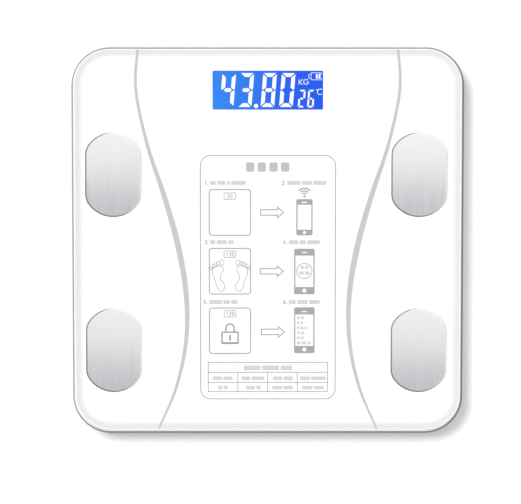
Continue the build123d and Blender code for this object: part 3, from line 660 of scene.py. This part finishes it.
def small_numeral(ink, number, x, y, height, width):
    """One numeral 1 to 6 as strokes, its lower left corner at x, y."""
    w, h = height * 0.52, height
    belly = arc(w * 0.46, 0.32 * h, w * 0.5, 105, -150, 9)
    stem = [(0.85 * w, h)] + arc(w / 2, 0.5 * h, w / 2, 115, 180, 3)
    loop = arc(w / 2, 0.27 * h, w * 0.5, 0, 324, 9) + [(w, 0.27 * h)]
    curves = {
        1: [[(0.15 * w, 0.78 * h), (0.6 * w, h), (0.6 * w, 0)]],
        2: [[(0, 0.75 * h)] + arc(w / 2, 0.72 * h, w / 2, 165, -35, 8) + [(0, 0), (w, 0)]],
        3: [arc(w / 2, 0.75 * h, w / 2, 160, -90, 8), arc(w / 2, 0.26 * h, w * 0.52, 90, -160, 8)],
        4: [[(0.75 * w, 0), (0.75 * w, h), (0, 0.28 * h), (w, 0.28 * h)]],
        5: [[(0.95 * w, h), (0.12 * w, h), (0.05 * w, 0.56 * h)] + belly],
        6: [stem, loop],
    }
    for points in curves[number]:
        ink.line([(x + px, y + py) for px, py in points], width)


def caption(lines, bars, number, x0, x1, y0, shares):
    """A step number, its full stop, and bars in place of the words."""
    height = 2.6
    small_numeral(lines, number, x0, y0, height, 0.42)
    lines.fill(rectangle(x0 + 1.75, x0 + 2.25, y0, y0 + 0.5))
    text_bars(bars, x0 + 3.6, x1, y0, y0 + height, shares)


def scale_pictogram(ink, y, sill):
    """A square scale with its little display, whose lower edge is at sill above the middle."""
    x, half_wide, half_deep = COLUMN_LEFT, 13.75, 15.45
    ink.outline(x - half_wide, x + half_wide, y - half_deep, y + half_deep, LINE, 1.9)
    ink.outline(x - 3.9, x + 3.9, y + sill, y + sill + 4.35, 0.42, 0.4)


def arrow(ink, x, y):
    """An outlined arrow that points right."""
    shaft, head = 1.85, 3.6         # half widths
    neck, tip = 11.3, 15.3          # lengths from the arrow's tail
    points = [(0, -shaft), (neck, -shaft), (neck, -head), (tip, 0), (neck, head), (neck, shaft), (0, shaft)]
    ink.line([(x + px, y + py) for px, py in points], LINE, closed=True)


def footprints(ink, y):
    """A pair of bare feet, mirrored about the pictogram's middle."""
    toes = (                        # x, y, half width, half length and lean of each toe
        (-5.3, 6.0, 1.3, 1.95, 8), (-7.75, 5.5, 0.95, 1.35, 12), (-9.7, 4.8, 0.9, 1.2, 20),
        (-11.3, 3.8, 0.85, 1.1, 30), (-12.3, 1.9, 1.0, 0.85, 10),
    )
    sole = (
        (-5.5, 3.4), (-4.5, 0.9), (-6.2, -2.6), (-6.3, -5.7), (-3.9, -8.7), (-3.6, -11.5), (-5.9, -13.7),
        (-8.1, -12.1), (-9.0, -9.0), (-10.6, -4.2), (-11.6, -1.6), (-11.6, 1.4), (-9.2, 3.1),
    )
    for side in (1, -1):
        for tx, ty, rx, ry, lean in toes:
            ink.line(oval(COLUMN_LEFT + side * tx, y + ty, rx, ry, lean * side), 0.34, closed=True)
        loop = smooth_loop([(COLUMN_LEFT + side * sx, y + sy) for sx, sy in sole])
        ink.line(loop, 0.38, closed=True)


def padlock(ink, y):
    """A shut padlock with a bar-shaped keyhole."""
    x, top, foot, half, pen = COLUMN_LEFT, y - 0.5, y - 9.0, 5.85, 0.95
    outer = rectangle(x - half, x + half, foot, top, 0.9)
    inner = rectangle(x - half + pen, x + half - pen, foot + 1.3, top - pen, 0.1)
    ink.frame(outer, inner)
    hoop, shoulder = 2.75, top + 2.35
    bend = arc(x, shoulder, hoop, 0, 180, 16)
    ink.line([(x + hoop, top)] + bend + [(x - hoop, top)], pen)
    ink.fill(rectangle(x - 0.6, x + 0.6, y - 6.6, y - 2.9))


def open_band(ink, x0, x1, y0, y1, corners, hole):
    """A solid band with a hole round its middle; corners says which pair is rounded.
    hole is (x, y, half width, half height) of a slot, or (x, y, radius) of a round one."""
    cx, cy = hole[:2]
    steps = 144
    edge, inner = [], []
    for i in range(steps):
        a = 2 * math.pi * (i + 0.5) / steps
        way = Vector((math.cos(a), math.sin(a)))
        reach = min(((x1 if way.x > 0 else x0) - cx) / way.x, ((y1 if way.y > 0 else y0) - cy) / way.y)
        edge.append(round_off(cx + way.x * reach, cy + way.y * reach, x0, x1, y0, y1, corners))
        if len(hole) == 3:
            reach = hole[2]
        else:
            reach = min(hole[2] / abs(way.x), hole[3] / abs(way.y))
        inner.append((cx + way.x * reach, cy + way.y * reach))
    ink.frame(edge, inner)


def round_off(x, y, x0, x1, y0, y1, corners, radius=1.15):
    """Pulls a point on a rectangle's edge onto its rounded upper or lower corners."""
    cx = min(max(x, x0 + radius), x1 - radius)
    cy = min(y, y1 - radius) if corners == "upper" else max(y, y0 + radius)
    if cx == x or cy == y:
        return x, y
    away = Vector((x - cx, y - cy)).normalized() * radius
    return cx + away.x, cy + away.y


def phone_pictogram(ink, width, y0, low, high, y1, slot_y, home_y, home):
    """A phone: a head with an ear slot, a foot with a round button, and two thin sides.
    y0 and y1 are its ends, low and high the ends of its screen."""
    x0, x1 = COLUMN_RIGHT - width / 2, COLUMN_RIGHT + width / 2
    side = 0.85
    open_band(ink, x0, x1, high, y1, "upper", (COLUMN_RIGHT, slot_y, 1.85, 0.4))
    open_band(ink, x0, x1, y0, low, "lower", (COLUMN_RIGHT, home_y, home))
    ink.fill(rectangle(x0, x0 + side, low, high))
    ink.fill(rectangle(x1 - side, x1, low, high))


def wireless(ink, x, y):
    """A dot with three arcs over it."""
    ink.disc(x, y, 0.75)
    for radius, width in ((2.1, 0.70), (3.7, 0.76), (5.35, 0.80)):
        ink.line(arc(x, y, radius, 45, 135, 14), width)


def print_panel():
    """The panel's frame, its three rows of pictograms, and the plain table under them."""
    lines, symbols, dark, bars = (Ink(INK_LOW, INK_HIGH) for _ in range(4))
    lines.outline(*PANEL, 0.52, 6.8)
    for y, sill in zip(ROWS, SILLS):
        scale_pictogram(lines, y, sill)
    for x, y in ((-4.8, ROWS[0]), (-5.0, ROWS[1]), (-4.2, ROWS[2] - 0.75)):
        arrow(lines, x, y)
    footprints(lines, ROWS[1])
    padlock(dark, ROWS[2])
    wireless(dark, COLUMN_RIGHT, 29.85)
    dark.piece("printed_panel_dark", ink_grey("ink_dark_grey", 156), "printed_film")
    phone_pictogram(symbols, 10.85, 3.5, 7.3, 24.2, 27.95, 25.8, 5.4, 1.05)
    phone_pictogram(symbols, 13.7, -36.4, -31.5, -10.15, -5.55, -8.1, -33.95, 1.35)
    phone_pictogram(symbols, 13.7, -76.4, -71.5, -50.1, -45.25, -48.2, -73.9, 1.35)
    lines.circle(COLUMN_RIGHT, -20.65, 5.1, 0.5)
    captions(lines, bars)
    table(lines, bars)
    numerals(lines, bars)
    lines.piece("printed_panel_lines", ink_grey("ink_line_grey", 158), "printed_film")
    symbols.piece("printed_panel_symbols", ink_grey("ink_symbol_grey", 169), "printed_film")
    bars.piece("printed_panel_bars", ink_grey("ink_bar_grey", 213), "printed_film")


def captions(lines, bars):
    """The title and the six step captions, with bars in place of words."""
    title = Ink(INK_LOW, INK_HIGH)
    text_bars(title, -14.5, 14.3, 46.4, 52.7, (1, 1, 1, 1))
    title.piece("printed_panel_title", ink_grey("ink_title_grey", 194), "printed_film")
    caption(lines, bars, 1, -42.0, -14.6, 37.6, (2, 3, 1, 5))
    caption(lines, bars, 2, 9.4, 38.9, 37.6, (4, 3, 4))
    caption(lines, bars, 3, -42.0, -22.9, -2.4, (2, 4, 2))
    caption(lines, bars, 4, 10.4, 34.6, -2.4, (3, 2, 4))
    caption(lines, bars, 5, -42.7, -20.2, -42.9, (4, 2, 2))
    caption(lines, bars, 6, 10.4, 34.7, -42.9, (2, 3, 3))


def table(lines, bars):
    """Title row and two rows of four cells."""
    x0, x1, y0, y1 = -39.8, 40.0, -102.6, -82.7
    upper, middle = -89.5, -96.4    # the lines between the rows
    pitch, shift = 19.85, -0.15     # of the lines between the cells
    thin = 0.45
    lines.outline(x0, x1, y0, y1, thin)
    for y in (upper, middle):
        lines.fill(rectangle(x0 + thin / 2, x1 - thin / 2, y - thin / 2, y + thin / 2))
    for i in (-1, 0, 1):
        x = i * pitch + shift
        lines.fill(rectangle(x - thin / 2, x + thin / 2, y0 + thin / 2, middle - thin / 2))
        lines.fill(rectangle(x - thin / 2, x + thin / 2, middle + thin / 2, upper - thin / 2))
    text_bars(bars, -15.9, 16.1, -88.1, -84.9, (3, 3, 2))
    cells = ((-36.9, -23.5, (2, 2)), (-17.6, -2.2, (2, 3)), (3.3, 16.8, (2, 2)), (21.7, 38.7, (2, 3)))
    for left, right, shares in cells:
        text_bars(bars, left, right, -94.8, -92.3, shares)
    cells = ((-33.2, -26.8, (1, 1)), (-14.6, -4.7, (2, 1)), (3.0, 16.8, (2, 2)), (23.0, 37.7, (2, 2)))
    for left, right, shares in cells:
        text_bars(bars, left, right, -101.1, -98.7, shares)


def numerals(lines, bars):
    """Little readings on the pictograms, and bars for the lists on the phones."""
    for digits, y, sill in zip(("00", "438", "438"), ROWS, SILLS):
        width, height = 1.3, 2.5
        pitch = 1.9
        x = COLUMN_LEFT - (pitch * (len(digits) - 1) + width) / 2
        for i, digit in enumerate(digits):
            seven_segment(lines, digit, x + i * pitch, y + sill + 0.9, width, height, 0.34, 0.05, 0.0)
    text_bars(bars, COLUMN_RIGHT - 2.6, COLUMN_RIGHT + 2.6, -19.25, -17.15, (1, 1))
    text_bars(bars, COLUMN_RIGHT - 3.4, COLUMN_RIGHT + 3.4, -23.25, -20.85, (1, 1))
    for i, length in enumerate((4.7, 4.0, 6.7, 4.7, 4.6, 9.3)):
        y = -52.45 - i * 3.4
        text_bars(bars, 19.5, 19.5 + length, y - 1.0, y + 1.0, (1, 1) if length < 6 else (2, 3, 2))


# ---------------------------------------------------------------- display
SEGMENTS = {
    "0": "abcdef", "2": "abged", "3": "abgcd", "4": "fgbc", "6": "afgecd", "8": "abcdefg",
}


def seven_segment(ink, digit, x, y, width, height, bar, gap, lean):
    """A seven-segment digit, leaning right by lean (its tangent), lower left corner at x, y."""
    mid = height / 2
    end, tip = bar + gap, bar * 0.55 + gap
    upright = [
        (0, height - gap * 1.6), (bar, height - end), (bar, mid + bar / 2 + gap),
        (bar * 0.35, mid + gap * 0.7), (0, mid + gap),
    ]
    top = [(gap, height), (end, height - bar), (width - end, height - bar), (width - gap, height)]
    middle = [
        (tip, mid), (end, mid - bar / 2), (width - end, mid - bar / 2), (width - tip, mid),
        (width - end, mid + bar / 2), (end, mid + bar / 2),
    ]
    shapes = {
        "a": top,
        "d": [(px, height - py) for px, py in top],
        "f": upright,
        "e": [(px, height - py) for px, py in upright],
        "b": [(width - px, py) for px, py in upright],
        "c": [(width - px, height - py) for px, py in upright],
        "g": middle,
    }
    for name in SEGMENTS[digit]:
        ink.fill([(x + px + py * lean, y + py) for px, py in anticlockwise(shapes[name])])


def anticlockwise(points):
    """The same outline, turned to run anticlockwise."""
    area = sum(a[0] * b[1] - b[0] * a[1] for a, b in zip(points, points[1:] + points[:1]))
    return points if area > 0 else points[::-1]


LCD_Y = 101.15                    # middle of the display
LCD_HALF_WIDE, LCD_HALF_DEEP = 38.4, 14.2
LEAN = 0.082                      # tangent of the digits' lean


def display_digits():
    """The reading, its units, the temperature and the battery mark, as lit white shapes."""
    ink = Ink(LCD_TOP + 0.06 * MM, LCD_TOP + 0.10 * MM)
    base, tall, wide, bar = LCD_Y - 11.4, 22.7, 9.05, 2.55
    for digit, right in (("4", -21.3), ("3", -9.3), ("8", 5.8), ("0", 18.1)):
        seven_segment(ink, digit, right - wide - tall * LEAN + 0.3, base, wide, tall, bar, 0.5, LEAN)
    ink.disc(-7.8, base + 0.65, 1.45)
    for digit, left in (("2", 19.8), ("6", 25.9)):
        seven_segment(ink, digit, left, base - 0.3, 4.4, 11.8, 1.25, 0.34, LEAN)
    unit_marks(ink)
    battery_mark(ink)
    ink.piece("display_digits", lit_white(), "display_glass")


def unit_marks(ink):
    """kilogram and degree marks, drawn as strokes."""
    y0, h, pen = LCD_Y + 3.6, 3.6, 0.4
    ink.line([(20.5, y0), (20.75, y0 + h)], pen)
    ink.line([(23.2, y0 + h), (20.8, y0 + h * 0.42), (23.1, y0)], pen)
    g = arc(25.4, y0 + h / 2, h * 0.46, 40, 320, 18)
    ink.line(g + [(26.95, y0 + h * 0.45), (25.6, y0 + h * 0.45)], pen)
    ink.circle(32.55, LCD_Y + 0.2, 0.36, 0.26, 14)
    c = arc(34.75, LCD_Y - 1.2, 1.75, 48, 312, 18, 1.08)
    ink.line([(px + (py - LCD_Y) * LEAN, py) for px, py in c], 0.42)


def battery_mark(ink):
    """A battery outline with its terminal on the left and its charge on the right."""
    x0, x1, y0, y1, pen = 28.7, 35.7, LCD_Y + 6.8, LCD_Y + 11.5, 0.32
    ink.line([(x1, y0 + 1.3), (x1 - 0.3, y0), (x0, y0), (x0, y1), (x1 - 0.3, y1), (x1, y1 - 1.3)], pen)
    ink.line([(x0 - 0.35, y0 + 1.0), (x0 - 1.5, y0 + 1.0), (x0 - 1.5, y1 - 1.0), (x0 - 0.35, y1 - 1.0)], pen)
    for left in (x0 + 3.2, x0 + 5.0):
        ink.fill(rectangle(left, left + 1.2, y0 + 0.8, y1 - 0.8, 0.2, 2))


def lit_white():
    """White of the lit digits and marks."""
    off = (0.05, 0.05, 0.05, 1)
    sh = Shader("display_white", Base_Color=off, Specular_IOR_Level=0.0, Emission_Strength=1.0)
    glow = sh.noise(0.4, 2.0)
    sh.put("Emission Color", sh.ramp(glow, [(0.3, (0.95, 0.97, 1.0)), (0.7, (1.0, 1.0, 1.0))]))
    return sh.material


def lit_blue():
    """Blue ground of the display, lighter where the backlight's diodes are, on the left."""
    off = (0.0, 0.01, 0.03, 1)
    sh = Shader("display_blue", Base_Color=off, Specular_IOR_Level=0.0, Emission_Strength=1.0)
    x, _, _ = sh.axes()
    half = 37.0
    along = sh.math("DIVIDE", sh.math("ADD", x, half), 2 * half)
    stops = [(0.0, (0.036, 0.245, 0.89)), (0.35, (0.028, 0.190, 0.865))]
    stops += [(0.7, (0.020, 0.112, 0.86)), (1.0, (0.015, 0.098, 0.86))]
    glow = sh.ramp(along, stops)
    patch = sh.ramp(sh.noise(0.06, 2.0), [(0.3, 0.96), (0.7, 1.0)])
    sh.put("Emission Color", sh.mix(1.0, glow, patch, "MULTIPLY"))
    return sh.material


def display_ground():
    """The lit ground that the digits stand on."""
    ink = Ink(LCD_TOP + 0.01 * MM, LCD_TOP + 0.05 * MM)
    ink.fill(rectangle(-LCD_HALF_WIDE, LCD_HALF_WIDE, LCD_Y - LCD_HALF_DEEP, LCD_Y + LCD_HALF_DEEP, 0.5, 3))
    ink.piece("display_image", lit_blue(), "display_glass")


print_curves()
print_panel()
display_ground()
display_digits()


# ---------------------------------------------------------------- tray, feet and door
def tray_material():
    return plastic("white_abs", (0.84, 0.845, 0.85), 0.5, 0.4, 0.03)


def battery_jacket(name, tip, foot):
    """A printed cell jacket: dark wrap, a light band at the positive end, bare steel at both ends."""
    sh = Shader(name, Specular_IOR_Level=0.5, Coat_Weight=0.4, Coat_Roughness=0.15)
    x, _, _ = sh.axes()
    along = sh.math("DIVIDE", sh.math("SUBTRACT", x, foot), tip - foot)
    steel, wrap, band = (0.72, 0.71, 0.68), (0.06, 0.07, 0.08), (0.72, 0.38, 0.16)
    stops = [(0.0, steel), (0.015, steel), (0.02, wrap), (0.70, wrap), (0.71, band), (0.955, band)]
    sh.put("Base Color", sh.ramp(along, stops + [(0.96, steel)]))
    sh.put("Metallic", sh.ramp(along, [(0.0, 1.0), (0.016, 1.0), (0.02, 0.35), (0.955, 0.35), (0.96, 1.0)]))
    scuff = sh.noise(0.8, 4.0, 0.6, sh.stretched(0.2, 1.0, 1.0))
    sh.put("Roughness", sh.ramp(scuff, [(0.3, 0.22), (0.7, 0.36)]))
    sh.bump(scuff, 0.1, 0.01)
    return sh.material


def board_material():
    """Green solder mask with faint copper runs under it."""
    sh = Shader("solder_mask", Specular_IOR_Level=0.5, Coat_Weight=0.5, Coat_Roughness=0.12, Roughness=0.35)
    runs = sh.node("ShaderNodeTexBrick")
    sh.link(sh.place, runs.inputs["Vector"])
    runs.inputs["Scale"].default_value = 0.35
    runs.inputs["Mortar Size"].default_value = 0.03
    runs.inputs["Color1"].default_value = (0.01, 0.13, 0.05, 1)
    runs.inputs["Color2"].default_value = (0.012, 0.15, 0.06, 1)
    runs.inputs["Mortar"].default_value = (0.03, 0.25, 0.10, 1)
    sh.put("Base Color", runs.outputs["Color"])
    sh.bump(runs.outputs["Fac"], 0.3, 0.03)
    return sh.material


def dress_base():
    dress("base_tray", tray_material())
    dress("battery_door", plastic("door_abs", (0.77, 0.775, 0.78), 0.48, 0.4, 0.03))
    dress("unit_button", glossy("button_grey", (0.33, 0.34, 0.35), 0.3))
    foot = plastic("foot_abs", (0.62, 0.625, 0.63), 0.5, 0.35, 0.03)
    pad = rubber("foot_rubber", (0.055, 0.055, 0.058), 0.8, 0.5)
    cell = metal("cell_plate_steel", (0.62, 0.63, 0.64), 0.35, (1.0, 0.2, 1.0))
    silicone = rubber("white_silicone", (0.82, 0.82, 0.79), 0.45, 1.2)
    bracket = plastic("bracket_abs", (0.74, 0.74, 0.72), 0.55, 0.5, 0.03)
    for corner in CORNERS:
        dress("foot_" + corner, foot)
        dress("foot_pad_" + corner, pad)
        dress("load_cell_" + corner, cell)
        dress("gauge_coating_" + corner, silicone)
        dress("cell_bracket_" + corner, bracket)


def dress_inside():
    zinc = metal("zinc_plate", (0.72, 0.74, 0.78), 0.28)
    tin = metal("tinplate", (0.74, 0.74, 0.72), 0.32)
    nickel = metal("nickel_plate", (0.78, 0.76, 0.72), 0.22)
    black = plastic("black_moulding", (0.025, 0.025, 0.027), 0.5, 0.3, 0.02)
    nylon = plastic("natural_nylon", (0.82, 0.80, 0.74), 0.5, 0.5, 0.02)
    finishes = {
        "electrode_terminals": metal("tinned_brass", (0.80, 0.70, 0.46), 0.3),
        "electrode_nuts": zinc,
        "bracket_screws": zinc,
        "board_screws": zinc,
        "crystal_can": tin,
        "radio_module": tin,
        "battery_contacts": nickel,
        "battery_springs": nickel,
        "main_pcb": board_material(),
        "lcd_bezel": black,
        "lcd_gasket": rubber("black_foam", (0.02, 0.02, 0.02), 0.9, 0.4),
        "lcd_glass": glossy("display_glass_dark", (0.02, 0.05, 0.12), 0.08),
        "lcd_backlight": glossy("milky_acrylic", (0.80, 0.86, 0.92), 0.2),
        "backlight_leds": glossy("led_resin_yellow", (0.85, 0.80, 0.45), 0.25),
        "zebra_strip": rubber("zebra_elastomer", (0.60, 0.36, 0.38), 0.6, 0.3),
        "wire_headers": nylon,
        "switch_plunger": nylon,
        "switch_housing": black,
        "small_components": black,
        "mcu_epoxy_blob": glossy("epoxy_black", (0.012, 0.012, 0.012), 0.12),
        "cell_leads": rubber("lead_grey", (0.62, 0.62, 0.60), 0.5, 0.8),
        "electrode_leads": rubber("wire_blue", (0.06, 0.15, 0.45), 0.5, 0.8),
        "battery_leads": rubber("wire_red", (0.55, 0.03, 0.02), 0.5, 0.8),
    }
    for node, material in finishes.items():
        dress(node, material)
    for index, turn in ((1, 1), (2, -1), (3, 1)):
        low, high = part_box(f"battery_{index}")
        tip, foot = (high.x, low.x) if turn > 0 else (low.x, high.x)
        dress(f"battery_{index}", battery_jacket(f"cell_jacket_{index}", tip / MM, foot / MM))


dress_base()
dress_inside()
